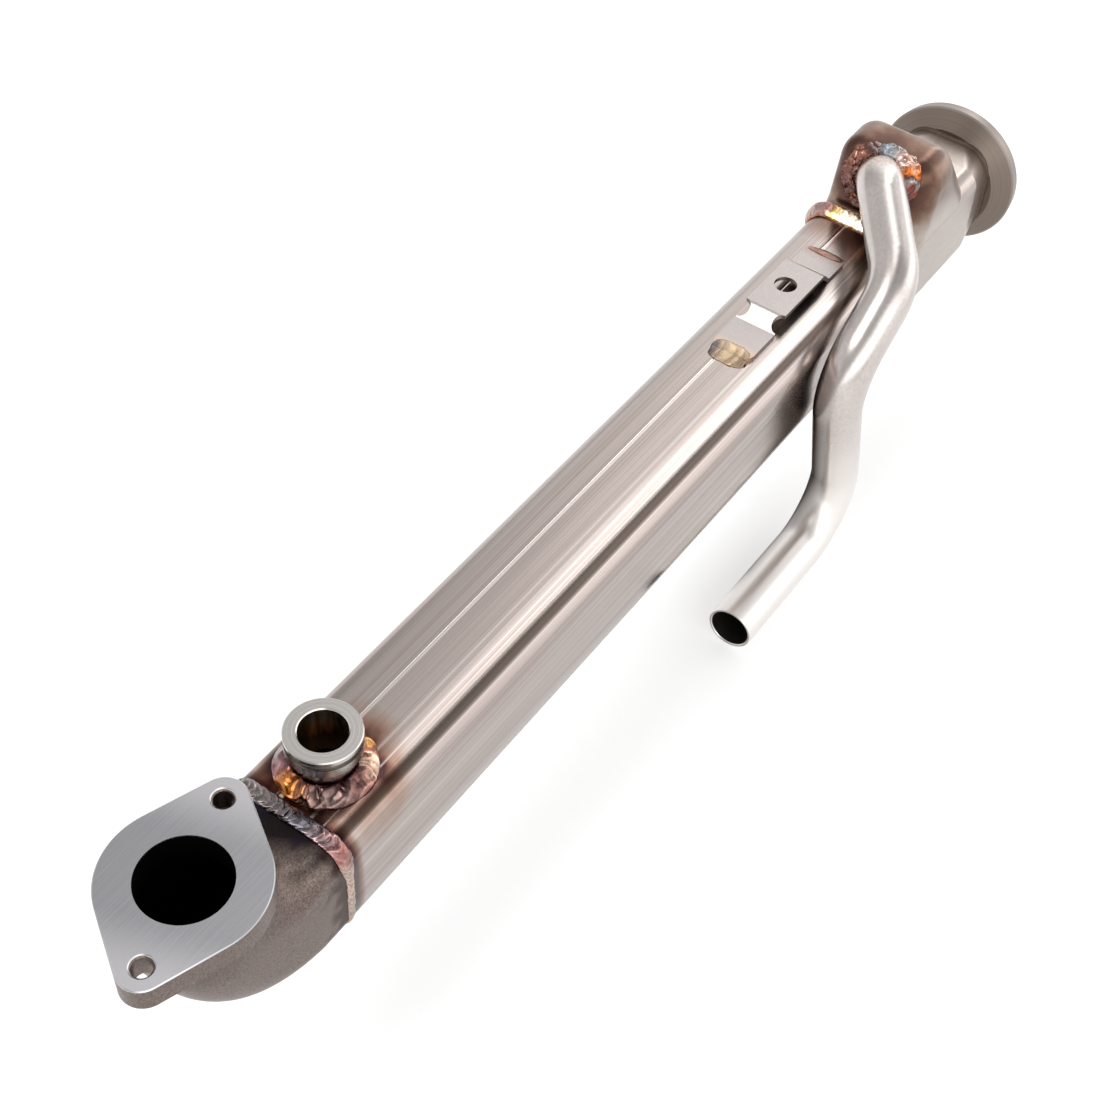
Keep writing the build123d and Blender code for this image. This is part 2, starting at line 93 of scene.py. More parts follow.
# %% Sizes of the casing's and the tube's section
CASING_HALF = 25.0
CASING_CORNER = 9.0
CASING_FLAT = CASING_HALF - CASING_CORNER
CASING_BOW = 0.6
TUBE_RADIUS = 10.65
TUBE_BORE = 9.15
hose_end_x = tube_low.x
hose_end_y = tube_low.y + TUBE_RADIUS * MM
hose_end_z = tube_low.z + TUBE_RADIUS * MM
print("tube end to header in mm:", round((rear_weld_x - hose_end_x) / MM, 1))

# %% [markdown]
# ## Camera
#
# The picture was taken from above the two-bolt flange, looking along the cooler. A lens of
# 59 mm on a 36 mm high sensor gives the same strong narrowing towards the far end.

# %% Place the camera
camera_place = Vector((-187.9, -244.4, 489.6)) * MM
camera_turn = (41.405, -2.647, -54.647)

camera_data = bpy.data.cameras.new("camera")
camera_data.sensor_fit = "VERTICAL"
camera_data.sensor_height = 36.0
camera_data.lens = 58.83
camera_data.clip_start = 0.01
camera = bpy.data.objects.new("camera", camera_data)
camera.location = camera_place
camera.rotation_euler = Euler([math.radians(angle) for angle in camera_turn])
bpy.context.scene.collection.objects.link(camera)
bpy.context.scene.camera = camera
bpy.context.scene.view_settings.view_transform = "Standard"
print("camera height in mm:", round(camera_place.z / MM))

# %% [markdown]
# ## Nodes and colours
#
# A material is a small network of nodes. One helper adds any node, sets its choices and its
# inputs, and links whatever comes from another node. A second turns a colour as it is written
# on the web into the linear values that the renderer works with. The next ones are short names
# for the few steps that every finish here needs: a place in millimetres, noise, a colour ramp.


# %% Helpers for colours and nodes
def linear(code):
    """Linear colour of an sRGB hex code."""
    channels = [int(code[place : place + 2], 16) / 255 for place in (1, 3, 5)]
    return [c / 12.92 if c <= 0.04045 else ((c + 0.055) / 1.055) ** 2.4 for c in channels] + [1]


def add(tree, kind, inputs=(), **choices):
    """Add a shader node of a kind; its inputs are (socket, value or output) pairs."""
    node = tree.nodes.new("ShaderNode" + kind)
    for name, choice in choices.items():
        setattr(node, name, choice)
    for socket, value in inputs:
        if isinstance(value, bpy.types.NodeSocket):
            tree.links.new(value, node.inputs[socket])
        elif isinstance(value, str):
            node.inputs[socket].default_value = linear(value)
        else:
            node.inputs[socket].default_value = value
    return node


def new_material(name):
    """An empty material and its node tree."""
    material = bpy.data.materials.new(name)
    material.use_nodes = True
    material.node_tree.nodes.clear()
    print("finish:", name)
    return material, material.node_tree


# %% Helpers for places and sums
def place_in_mm(tree, centre=(0, 0, 0)):
    """Object coordinates in millimetres, measured from a centre in metres."""
    coords = add(tree, "TexCoord").outputs["Object"]
    moved = add(tree, "VectorMath", [(0, coords), (1, centre)], operation="SUBTRACT").outputs[0]
    return add(tree, "Mapping", [("Vector", moved), ("Scale", [1 / MM] * 3)]).outputs["Vector"]


def split(tree, vector):
    """The three parts of a vector."""
    return add(tree, "SeparateXYZ", [(0, vector)]).outputs


def join(tree, first, second, third=0.0):
    """Vector of three parts."""
    return add(tree, "CombineXYZ", [(0, first), (1, second), (2, third)]).outputs[0]


def sums(tree, operation, first, second=0.0):
    """One sum of two values."""
    return add(tree, "Math", [(0, first), (1, second)], operation=operation).outputs["Value"]


def distance(tree, vector):
    """Length of a vector."""
    return add(tree, "VectorMath", [(0, vector)], operation="LENGTH").outputs["Value"]


def along(tree, vector, way):
    """How far a vector reaches along a fixed direction."""
    pair = [(0, vector), (1, way)]
    return add(tree, "VectorMath", pair, operation="DOT_PRODUCT").outputs["Value"]


# %% Helpers for patterns
def streaks(tree, vector, scale, detail=3.0):
    """Noise drawn out along one axis; scale is in waves per millimetre along each axis."""
    stretched = add(tree, "Mapping", [("Vector", vector), ("Scale", scale)]).outputs["Vector"]
    inputs = [("Vector", stretched), ("Scale", 1.0), ("Detail", detail)]
    return add(tree, "TexNoise", inputs).outputs["Fac"]


def level(tree, value, low, high, out_low=0.0, out_high=1.0, smooth=False):
    """Map of a value from low..high to out_low..out_high, held at both ends."""
    sockets = ("Value", "From Min", "From Max", "To Min", "To Max")
    inputs = list(zip(sockets, (value, low, high, out_low, out_high)))
    shape = "SMOOTHSTEP" if smooth else "LINEAR"
    return add(tree, "MapRange", inputs, interpolation_type=shape).outputs["Result"]


def spread(tree, pattern, reach):
    """A noise pattern as a value from -reach to reach."""
    return level(tree, pattern, 0.3, 0.7, -reach, reach)


def ramp(tree, value, *stops):
    """Colour ramp through (place, hex code) stops."""
    node = add(tree, "ValToRGB", [("Fac", value)])
    elements = node.color_ramp.elements
    while len(elements) < len(stops):
        elements.new(0.5)
    for index, (place, code) in enumerate(stops):
        elements[index].position = place
        elements[index].color = linear(code)
    return node.outputs["Color"]


def blend(tree, share, first, second, how="MIX"):
    """Mix of two colours by a share from 0 to 1."""
    inputs = [(0, share), (6, first), (7, second)]
    return add(tree, "Mix", inputs, data_type="RGBA", blend_type=how).outputs[2]


def tinted(tree, colour, tint, share=1.0):
    """Colour multiplied by a tint, as a film of oxide does it."""
    return blend(tree, share, colour, tint, "MULTIPLY")


# %% Helpers for the surface
def bump(tree, height, size, before=None):
    """Surface direction from a height pattern; size is the depth in mm of one unit of it."""
    inputs = [("Height", height), ("Distance", size * MM), ("Strength", 1.0)]
    if before is not None:
        inputs.append(("Normal", before))
    return add(tree, "Bump", inputs).outputs["Normal"]


def finish(tree, colour, roughness, normal=None, edge_tint=None):
    """Metal surface, joined to the material's output."""
    inputs = [("Metallic", 1.0), ("Base Color", colour), ("Roughness", roughness)]
    if normal is not None:
        inputs.append(("Normal", normal))
    if edge_tint is not None:
        inputs.append(("Specular Tint", edge_tint))
    surface = add(tree, "BsdfPrincipled", inputs)
    add(tree, "OutputMaterial", [("Surface", surface.outputs["BSDF"])])


# %% [markdown]
# ## Drawn casing
#
# A drawn stainless tube keeps long scratches from the die, so its reflections are soft across
# the tube and sharp along it. The flats also turn over gently before the corners. That is too
# slight for the outline, but it gathers the light in a bright line, so it is drawn as a bump
# of the true depth.

# %% Shoulders of the casing
# Where a flat begins to turn over in mm, how strongly it curves, and its slope past the flat.
SHOULDER_START = 8.5
SHOULDER_CURVE = 0.0058
SHOULDER_SLOPE = 0.087


def shoulder(tree, across):
    """Drop in mm of a flat that turns over near its edge, by the place across it in mm."""
    away = sums(tree, "ABSOLUTE", across)
    turning = level(tree, away, SHOULDER_START, CASING_FLAT, 0.0, CASING_FLAT - SHOULDER_START)
    curved = sums(tree, "MULTIPLY", sums(tree, "MULTIPLY", turning, turning), SHOULDER_CURVE)
    beyond = level(tree, away, CASING_FLAT, CASING_HALF, 0.0, SHOULDER_SLOPE * CASING_CORNER)
    return sums(tree, "ADD", curved, beyond)


# %% [markdown]
# Welding leaves oxide on the casing, brown and purple where the steel was hottest, round the spigot
# and at both ends. Beside the header the tint is wider, because it also holds a painted dark
# reflection of the hood. Each tint is a distance from its weld, made uneven by a slow noise, and
# sent through a ramp of colours. The tints multiply the steel's own colour, so the streaks still
# show through them.

# %% Heat tint and painted shade of the casing
SPIGOT_TINT = (
    (0.0, "#ffffff"),
    (0.4, "#f0e2d8"),
    (0.7, "#d9b9ab"),
    (0.88, "#a98478"),
    (1.0, "#6e5254"),
)
END_TINT = ((0.0, "#ffffff"), (0.4, "#d3bdb0"), (0.8, "#a58a80"), (1.0, "#75575a"))


def spigot_tint(tree, uneven):
    """Tint round the spigot, full at its weld and gone about 30 mm from its axis."""
    place = place_in_mm(tree, (spigot_x, spigot_y, casing_top_z))
    away = sums(tree, "ADD", distance(tree, place), uneven)
    return ramp(tree, level(tree, away, 17.0, 31.0, 1.0, 0.0), *SPIGOT_TINT)


def end_tint(tree, x, uneven):
    """Tint beside the two end welds: narrow at the elbow, and wide at the hot end, where it is heat
    tint and also a painted dark reflection of the hood.
    """
    from_front = sums(tree, "SUBTRACT", x, front_weld_x / MM)
    from_front = sums(tree, "ADD", from_front, sums(tree, "MULTIPLY", uneven, 0.25))
    from_rear = sums(tree, "SUBTRACT", rear_weld_x / MM, x)
    from_rear = sums(tree, "ADD", from_rear, sums(tree, "MULTIPLY", uneven, 0.4))
    front_heat = level(tree, from_front, 3.0, 8.0, 1.0, 0.0, True)
    # Beside the header this is heat tint and a painted dark reflection of the hood together.
    rear_heat = level(tree, from_rear, 0.0, 24.0, 0.85, 0.0)
    return ramp(tree, sums(tree, "MAXIMUM", front_heat, rear_heat), *END_TINT)


# %% Marks and painted light on the casing
# Lines along the top: place across, half width, strength and colour.
# The lines at 6.2 and 8.0 mm are a painted highlight and a painted shade beside the seam's groove;
# the other two are pale streaks.
DIE_LINES = (
    (-7.2, 0.8, 0.2, "#eee7e2"),
    (6.2, 1.1, 0.5, "#f3ece7"),
    (8.0, 0.4, 0.5, "#8a7d76"),
    (-12.4, 0.5, 0.25, "#eee7e2"),
)


def die_lines(tree, y, z, colour):
    """Colour with pale streaks, and the seam's painted highlight and painted shade, on the casing's
    top.
    """
    on_top = sums(tree, "GREATER_THAN", z, 20.0)
    for line, half, strength, code in DIE_LINES:
        away = sums(tree, "ABSOLUTE", sums(tree, "SUBTRACT", y, line))
        mark = level(tree, away, 0.4 * half, half, strength, 0.0)
        colour = blend(tree, sums(tree, "MULTIPLY", mark, on_top), colour, code)
    return colour


def rubbed_corner(tree, y, z):
    """Share of the painted dark band along the upper corner, a painted reflection, by the angle
    round the corner.
    """
    past_flat = sums(tree, "SUBTRACT", -CASING_FLAT, y)
    turned = sums(tree, "ARCTAN2", past_flat, sums(tree, "SUBTRACT", z, CASING_FLAT))
    begins = level(tree, turned, 0.10, 0.24)
    return sums(tree, "MULTIPLY", begins, level(tree, turned, 0.46, 0.62, 1.0, 0.0))


# %% Casing finish
def drawn_stainless():
    """Drawn stainless tube with lengthwise streaks, soft shoulders and heat tint."""
    material, tree = new_material("drawn_stainless_casing")
    place = place_in_mm(tree, (0, 0, axis_z))
    x, y, z = split(tree, place)
    broad = streaks(tree, place, (0.003, 0.25, 0.25), 2.0)
    fine = streaks(tree, place, (0.006, 1.6, 1.6), 4.0)
    half_broad, half_fine = sums(tree, "MULTIPLY", broad, 0.5), sums(tree, "MULTIPLY", fine, 0.5)
    tone = sums(tree, "ADD", half_broad, half_fine)
    colour = ramp(tree, tone, (0.33, "#928782"), (0.5, "#a59a95"), (0.67, "#b5aca6"))

    uneven = spread(tree, streaks(tree, place, (0.07, 0.09, 0.09), 2.0), 3.0)
    colour = tinted(tree, colour, spigot_tint(tree, uneven))
    # Heat tint at both ends, with a painted dark reflection of the hood beside the header.
    colour = tinted(tree, colour, end_tint(tree, x, uneven))
    # Pale streaks, and a painted highlight and painted shade along the seam.
    colour = die_lines(tree, y, z, colour)
    # Painted reflection: a dark band along the upper corner, painted into the colour.
    colour = tinted(tree, colour, "#b8afa9", rubbed_corner(tree, y, z))

    drop = sums(tree, "ADD", shoulder(tree, y), shoulder(tree, z))
    normal = bump(tree, sums(tree, "MULTIPLY", drop, -1.0), 1.0)
    normal = bump(tree, fine, 0.012, normal)
    normal = bump(tree, broad, 0.05, normal)
    finish(tree, colour, level(tree, tone, 0.35, 0.65, 0.23, 0.17), normal)
    return material


# %% [markdown]
# ## Cast elbow and its machined flange
#
# The elbow is cast: a warm grey skin with a sandy grain of about half a millimetre, browned near
# the casing's weld. The top of its collar under the flange is painted near black, a painted shadow.
# Its flange face was milled flat afterwards, so it is brighter, neutral in colour, and carries fine
# cutter lines. One material holds them all, because it is one casting, and heights and distances
# say where each begins.


# %% Skin of the casting
def cast_skin(tree, place, sand):
    """Colour of the casting's skin with its heat tint and a painted shadow under the flange."""
    x, y, z = split(tree, place)
    patches = streaks(tree, place, (0.12, 0.12, 0.12), 2.0)
    skin = ramp(tree, sand, (0.3, "#574a45"), (0.5, "#6e615b"), (0.7, "#847771"))
    skin = blend(tree, level(tree, patches, 0.35, 0.65, 0.0, 0.2), skin, "#6b5d56")
    near_weld = sums(tree, "ADD", x, spread(tree, patches, 5.0))
    skin = tinted(tree, skin, "#94827b", level(tree, near_weld, 36.0, 44.0, 0.0, 1.0, True))

    uneven = spread(tree, patches, 0.8)
    # Painted shadow: the top of the collar under the flange is painted near black.
    under_bead = level(tree, sums(tree, "ADD", z, uneven), -30.0, -21.5)
    across = sums(tree, "MULTIPLY", sums(tree, "ADD", y, uneven), 0.6)
    to_bead = level(tree, sums(tree, "ADD", x, across), 23.0, 36.0, 0.15, 0.95)
    below_flange = sums(tree, "LESS_THAN", z, -12.0)
    burnt = sums(tree, "MULTIPLY", sums(tree, "MULTIPLY", under_bead, to_bead), below_flange)
    return blend(tree, burnt, skin, ramp(tree, patches, (0.4, "#141011"), (0.6, "#1e1a24")))


# %% Milled face
# Direction from one bolt hole to the other.
BOLT_LINE = (0.942, 0.335, 0)


def milled_face(tree, place, lines):
    """Colour of the milled face, rubbed brighter towards its two bolts."""
    to_bolts = sums(tree, "ABSOLUTE", along(tree, place, BOLT_LINE))
    rubbed = level(tree, to_bolts, 14.0, 36.0, 0.0, 1.0, True)
    metal = ramp(tree, lines, (0.35, "#959598"), (0.65, "#9d9da0"))
    return blend(tree, rubbed, metal, "#bcbabd")


# %% [markdown]
# The inside of the casting is painted near black, as painted shade. The passage is a straight bore
# through the flange and then a bend that opens from round to the casing's square. Its surface is
# found by the distance from the bend's middle line. The limit widens with the angle round the bend
# and stays inside the wall, so no painted shade comes through to the outer skin.

# %% Painted shade inside the casting
# Radius of the bend's middle line, and how far from the middle the painted shade may reach, in mm.
BEND_RADIUS = 34.0
BORE_LIMIT = 16.3
PASSAGE_AT_FLANGE = 16.6
PASSAGE_AT_CASING = 21.8


def bore_soot(tree, place):
    """1 on the straight bore through the flange."""
    x, y, z = split(tree, place)
    near_axis = sums(tree, "LESS_THAN", distance(tree, join(tree, x, y)), BORE_LIMIT)
    under_face = sums(tree, "LESS_THAN", z, -0.6)
    in_flange = sums(tree, "MULTIPLY", under_face, sums(tree, "GREATER_THAN", z, -11.5))
    return sums(tree, "MULTIPLY", near_axis, in_flange)


def bend_soot(tree, place):
    """1 on the inside of the bend."""
    bend_centre = (BEND_RADIUS * MM, 0, axis_z + BEND_RADIUS * MM)
    x, y, z = split(tree, place_in_mm(tree, bend_centre))
    x = sums(tree, "MINIMUM", x, 0.0)
    off_line = sums(tree, "SUBTRACT", distance(tree, join(tree, x, z)), BEND_RADIUS)
    away = sums(tree, "MAXIMUM", sums(tree, "ABSOLUTE", off_line), sums(tree, "ABSOLUTE", y))
    back, down = sums(tree, "MULTIPLY", x, -1.0), sums(tree, "MULTIPLY", z, -1.0)
    turned = sums(tree, "ARCTAN2", back, down)
    limit = level(tree, turned, 0.0, math.pi / 2, PASSAGE_AT_CASING, PASSAGE_AT_FLANGE)
    below_flange = sums(tree, "LESS_THAN", split(tree, place)[2], -10.5)
    return sums(tree, "MULTIPLY", sums(tree, "LESS_THAN", away, limit), below_flange)


# %% Elbow finish
def cast_elbow():
    """Sandy casting, milled on the flange face and painted near black inside as shade."""
    material, tree = new_material("cast_stainless_elbow")
    place = place_in_mm(tree)
    sand = streaks(tree, place, (1.6, 1.6, 1.6), 3.0)
    lines = streaks(tree, place, (0.03, 2.5, 0.03), 3.0)
    on_face = level(tree, split(tree, place)[2], -0.45, -0.35)
    # Painted shade: the passage inside the casting is painted near black.
    soot = sums(tree, "MAXIMUM", bore_soot(tree, place), bend_soot(tree, place))
    skin, milled = cast_skin(tree, place, sand), milled_face(tree, place, lines)
    colour = blend(tree, soot, blend(tree, on_face, skin, milled), "#1c1a19")

    smooth = sums(tree, "SUBTRACT", on_face, soot)
    grain = sums(tree, "MULTIPLY", sand, sums(tree, "SUBTRACT", 1.0, on_face))
    normal = bump(tree, grain, 0.10)
    normal = bump(tree, sums(tree, "MULTIPLY", lines, on_face), 0.006, normal)
    finish(tree, colour, level(tree, smooth, -1.0, 1.0, 0.52, 0.27), normal)
    return material


# %% [markdown]
# ## Turned spigot
#
# The coolant spigot was turned on a lathe, so fine rings follow its axis: circles on its top
# and lines round its sides. Noise that is read by the distance from the axis and the height,
# and not by the place, gives both. The weld's heat browned the inside of its bore and its foot.

# %% Spigot finish
SPIGOT_BORE_TINT = ((0.0, "#f4efe8"), (0.3, "#cdbb9f"), (0.6, "#a8743e"), (0.95, "#3a2312"))


def turned_spigot():
    """Bright turned steel with a heat-browned bore and foot."""
    material, tree = new_material("turned_steel_spigot")
    place = place_in_mm(tree, (spigot_x, spigot_y, 0))
    x, y, z = split(tree, place)
    radius = distance(tree, join(tree, x, y))
    lathe = streaks(tree, join(tree, radius, 0.0, z), (2.2, 1.0, 2.2), 3.0)
    colour = ramp(tree, lathe, (0.35, "#aca7a3"), (0.65, "#c4c0bc"))
    inside = level(tree, radius, 8.75, 8.95, 1.0, 0.0)
    runs = spread(tree, streaks(tree, place, (0.5, 0.5, 0.05)), 3.0)
    depth = level(tree, sums(tree, "ADD", z, runs), 0.0, -14.0)
    colour = blend(tree, inside, colour, ramp(tree, depth, *SPIGOT_BORE_TINT))
    foot = level(tree, z, -12.5, -14.0)
    outside = sums(tree, "SUBTRACT", 1.0, inside)
    colour = blend(tree, sums(tree, "MULTIPLY", foot, outside), colour, "#5a3a40")
    finish(tree, colour, 0.2, bump(tree, lathe, 0.008))
    return material


# %% [markdown]
# ## Pressed header
#
# The header was pressed from sheet and welded on, then brushed. Heat from the tube's weld ran
# through the thin hood and left purple and brown oxide, which fades out within 20 mm. It
# is drawn like the casing's tint, as a distance from each weld with an uneven edge.

# %% Header finish
HEADER_TINT = (
    (0.0, "#ffffff"),
    (0.3, "#e4d6ca"),
    (0.6, "#bfa79e"),
    (0.85, "#a8908b"),
    (1.0, "#947e7a"),
)


def pressed_header():
    """Brushed pressed sheet with purple heat tint round the tube's weld."""
    material, tree = new_material("pressed_stainless_header")
    place = place_in_mm(tree)
    x, _, z = split(tree, place)
    brushed = streaks(tree, place, (0.25, 0.7, 0.7), 3.0)
    cloud = streaks(tree, place, (0.09, 0.09, 0.09), 3.0)
    colour = ramp(tree, brushed, (0.33, "#a69c95"), (0.67, "#ada49e"))
    colour = blend(tree, level(tree, cloud, 0.4, 0.65, 0.0, 0.15), colour, "#9c8b80")
    colour = tinted(tree, colour, "#c2b2aa", level(tree, z, -22.0, -8.0))

    uneven = spread(tree, cloud, 5.0)
    from_tube = sums(tree, "ADD", distance(tree, place_in_mm(tree, tube_joint)), uneven)
    from_casing = sums(tree, "SUBTRACT", x, rear_weld_x / MM)
    from_casing = sums(tree, "ADD", from_casing, sums(tree, "MULTIPLY", uneven, 0.6))
    tube_heat = level(tree, from_tube, 13.0, 31.0, 1.0, 0.0)
    casing_heat = level(tree, from_casing, 2.0, 13.0, 0.55, 0.0)
    heat = sums(tree, "MAXIMUM", tube_heat, casing_heat)
    finish(tree, tinted(tree, colour, ramp(tree, heat, *HEADER_TINT)), 0.3)
    return material


# %% [markdown]
# ## V-band flange
#
# This ring was turned from a forging. Its cone-shaped back shows fine lathe lines and the brown of
# a part that sat in hot gas, and its rim is painted brighter, a painted highlight. The rings follow
# the casing's axis, by the same trick as on the spigot.

# %% Ring finish
# Radius in mm from which the rim's painted highlight has its full brightness.
RIM_RADIUS = 34.9


def turned_ring():
    """Turned ring with lathe lines round its axis and a painted highlight on its rim."""
    material, tree = new_material("turned_stainless_ring")
    x, y, z = split(tree, place_in_mm(tree, (0, 0, axis_z)))
    radius = distance(tree, join(tree, y, z))
    lathe = streaks(tree, join(tree, x, radius), (2.0, 2.0, 1.0), 3.0)
    colour = ramp(tree, lathe, (0.35, "#73675f"), (0.65, "#7c7168"))
    # Painted highlight: the rim is painted lighter.
    rim = level(tree, radius, RIM_RADIUS - 0.6, RIM_RADIUS, 0.0, 0.7)
    finish(tree, blend(tree, rim, colour, "#958d88"), 0.42, bump(tree, lathe, 0.004))
    return material


# %% [markdown]
# ## Coolant tube
#
# The tube is welded stainless tube with a satin finish, lighter than the casing. Towards the end
# that the hose grips it is painted brighter, a painted highlight, and it is rougher there; its bore
# near that end is painted darker as shade, and the side that lies close to the casing is painted
# grey as shade. That side is told by the direction in which the surface faces, which is part of the
# mesh and doesn't change with the view.

# %% Parts of the tube
# Direction of the side with painted shade, and the heights in mm between which the tube is painted
# brighter and gets rougher.
TOWARDS_CASING = (-0.578, 0.815, 0)
LINISHED_FROM = -60.0
LINISHED_TO = -105.0


def hose_end(tree, x, colour):
    """Colour with painted shade in the bore and the cut edge at the hose end."""
    _, end_y, end_z = split(tree, place_in_mm(tree, (0, hose_end_y, hose_end_z)))
    from_axis = distance(tree, join(tree, end_y, end_z))
    near_end = sums(tree, "LESS_THAN", x, hose_end_x / MM + 45.0)
    inside = sums(tree, "LESS_THAN", from_axis, TUBE_BORE + 0.1)
    # Painted shade: the bore near the hose end is painted darker.
    colour = blend(tree, sums(tree, "MULTIPLY", inside, near_end), colour, "#7d7976")
    cut = sums(tree, "LESS_THAN", x, hose_end_x / MM + 0.15)
    return blend(tree, cut, colour, "#a9a5a2")


def casing_side_stain(tree, x, z):
    """Share of the painted grey shade on the side that faces the casing, below the hood."""
    normal = add(tree, "TexCoord").outputs["Normal"]
    faces_casing = level(tree, along(tree, normal, TOWARDS_CASING), 0.3, 0.95)
    below_hood = level(tree, z, -26.0, -56.0, 0.0, 0.95)
    off_end = level(tree, x, hose_end_x / MM + 12.0, hose_end_x / MM + 30.0)
    return sums(tree, "MULTIPLY", sums(tree, "MULTIPLY", faces_casing, below_hood), off_end)


# %% Tube finish
def satin_tube():
    """Satin tube, painted brighter at its hose end, painted grey on its casing side as shade, and
    tinted near its weld.
    """
    material, tree = new_material("satin_stainless_tube")
    place = place_in_mm(tree)
    x, _, z = split(tree, place)
    grain = streaks(tree, place, (0.8, 0.8, 0.8), 4.0)
    cloud = streaks(tree, place, (0.05, 0.05, 0.05), 2.0)
    colour = ramp(tree, grain, (0.3, "#c0b8b4"), (0.7, "#cac3bf"))
    colour = blend(tree, level(tree, cloud, 0.4, 0.7, 0.0, 0.3), colour, "#aca39e")
    # Painted highlight: the lower run is painted brighter towards the hose end.
    colour = blend(tree, level(tree, z, LINISHED_FROM, LINISHED_TO), colour, "#e6e1dd")
    colour = hose_end(tree, x, colour)
    # Painted shade: the side that faces the casing is painted grey.
    stained = casing_side_stain(tree, x, z)
    colour = tinted(tree, colour, "#75716f", stained)

    from_weld = distance(tree, place_in_mm(tree, tube_joint))
    from_weld = sums(tree, "ADD", from_weld, spread(tree, grain, 2.0))
    heat = level(tree, from_weld, 14.0, 24.0, 1.0, 0.0)
    tint = ramp(tree, heat, (0.0, "#ffffff"), (0.5, "#efe4dc"), (1.0, "#b99a90"))
    roughness = level(tree, z, LINISHED_FROM, LINISHED_TO, 0.26, 0.36)
    # The painted shade darkens the specular tint as well.
    edge_tint = blend(tree, stained, "#ffffff", "#5c5856")
    finish(tree, tinted(tree, colour, tint), roughness, bump(tree, grain, 0.002), edge_tint)
    return material


# %% [markdown]
# ## Bracket
#
# The bracket is light sheet, matt from pickling. Its feet took colour from their welds: straw
# at the front and brown at the rear. Two ramps from its own ends are enough for that.


# %% Bracket finish
def bracket_sheet():
    """Light matt sheet with weld tint at both feet."""
    material, tree = new_material("pickled_stainless_bracket")
    place = place_in_mm(tree)
    x = split(tree, place)[0]
    grain = streaks(tree, place, (1.2, 1.2, 1.2), 4.0)
    colour = ramp(tree, grain, (0.3, "#9a9391"), (0.7, "#a39c99"))
    uneven = spread(tree, grain, 1.5)
    from_front = sums(tree, "SUBTRACT", x, bracket_low.x / MM)
    from_rear = sums(tree, "SUBTRACT", bracket_high.x / MM, x)
    straw = level(tree, sums(tree, "ADD", from_front, uneven), 1.0, 9.0, 0.8, 0.0)
    brown = level(tree, sums(tree, "ADD", from_rear, uneven), 1.0, 7.0, 0.8, 0.0)
    colour = blend(tree, straw, colour, "#c2a283")
    colour = blend(tree, brown, colour, "#94807a")
    finish(tree, colour, 0.32, bump(tree, grain, 0.003))
    return material


# %% [markdown]
# ## Brazed core
#
# The tube sheets, gas tubes and fins inside are brazed thin sheet, seen only through the
# ports. An even grain is all that they need.


# %% Core finish
def brazed_core():
    """Dull sheet with an even grain."""
    material, tree = new_material("brazed_stainless_core")
    grain = streaks(tree, place_in_mm(tree), (0.5, 0.5, 0.5), 4.0)
    colour = ramp(tree, grain, (0.35, "#8c8580"), (0.65, "#a09993"))
    finish(tree, colour, 0.4, bump(tree, grain, 0.01))
    return material


# %% [markdown]
# ## Weld beads
#
# A weld freezes in overlapping crescents, a few millimetres apart, because the pool is fed
# drop by drop. The crescents are a row of steps that lag behind at the bead's edges. Colours
# come from the oxide: silver, straw, gold, copper, purple and blue as it gets thicker. They
# change along the joint, so they are kept on the mesh as a colour for each point.


# %% Ripples
def ripple(walk, across, pitch, lag, seed):
    """Height from 0 to 1 of the crescents; walk in mm along the joint, across from -1 to 1."""
    drift = 0.8 * noise.noise(Vector((walk * 0.12, seed, 0.0)))
    phase = walk / pitch + lag * across * across + drift
    step = phase - math.floor(phase)
    return min(step / 0.8, (1 - step) / 0.2) ** 0.7


def wave(walk, stretch, seed, layer=0.0):
    """Smooth noise along the joint alone, for uneven edges."""
    return noise.noise(Vector((walk * stretch, seed, layer)))


def lumps(walk, stretch, across, squeeze, seed):
    """Smooth noise over the bead's face."""
    return noise.noise(Vector((walk * stretch, across * squeeze, seed)))


# %% Oxide colours
def mixed(first, second, share):
    """Mix of two linear colours."""
    return [a + (b - a) * share for a, b in zip(first, second)]


def shaded(colour, shade):
    """A linear colour made darker or lighter."""
    return [channel * shade for channel in colour[:3]] + [1]


def oxide(stops, share):
    """Colour between (place, hex code) stops at a share of the bead's length."""
    share = min(max(share, stops[0][0]), stops[-1][0])
    for (start, first), (end, second) in zip(stops, stops[1:]):
        if share <= end:
            return mixed(linear(first), linear(second), (share - start) / max(end - start, 1e-6))
    return linear(stops[-1][1])


# %% Weld metal
def weld_metal(name, smooth, rough):
    """Frozen weld pool coloured by oxide; smooth and rough are its least and most roughness."""
    material, tree = new_material(name)
    colour = add(tree, "Attribute", attribute_name="oxide").outputs["Color"]
    scale = streaks(tree, place_in_mm(tree), (1.2, 1.2, 1.2), 4.0)
    flecks = ramp(tree, scale, (0.35, "#6f6a68"), (0.6, "#ffffff"))
    roughness = level(tree, scale, 0.35, 0.65, smooth, rough)
    finish(tree, tinted(tree, colour, flecks, 0.35), roughness, bump(tree, scale, 0.02))
    return material


weld_material = weld_metal("oxidised_weld", 0.14, 0.28)
scaled_weld = weld_metal("scaled_weld", 0.34, 0.5)

# %% [markdown]
# Each bead is a strip of faces bent round its joint: a grid is made flat, and every point is
# then moved to its place along the joint and across the bead. Most of the grid's rows make the
# domed face, and the last few close the bead underneath, inside the metal that it joins.

# %% Bead mesh
# Rows of the grid that close the bead underneath, and their depth in mm.
BACK_ROWS = 8
BACK_DEPTH = 0.6


